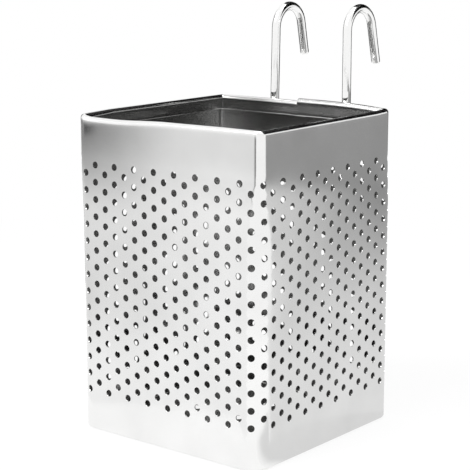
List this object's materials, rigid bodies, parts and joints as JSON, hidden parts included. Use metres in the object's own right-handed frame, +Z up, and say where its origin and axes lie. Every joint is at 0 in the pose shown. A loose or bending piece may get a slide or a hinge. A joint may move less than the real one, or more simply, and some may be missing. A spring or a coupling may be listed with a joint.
{
  "type": "cutlery drainer",
  "caption": "Square upright drainer box of perforated stainless sheet with a rolled rim and a drained floor, hung by wire hooks behind one wall.",
  "frame": {"origin": "centre of the bounding box's bottom face in X; in Y the centre of the square box, so the hooks reach past it; on the surface that the box stands on in Z", "axes": "+Z up; the hooks are behind the +Y wall and open downwards; +X to the right when facing the -Y wall"},
  "size_m": [0.1, 0.1274, 0.184],
  "materials": {
    "brushed_sheet": "fine vertical brushing, nearly bright, with a polished hem",
    "polished_wire": "polished round stainless wire"
  },
  "bodies": {
    "root": {"perforated_wall": "brushed_sheet", "floor_pan": "brushed_sheet", "left_hook": "polished_wire", "right_hook": "polished_wire"}
  },
  "joints": []
}
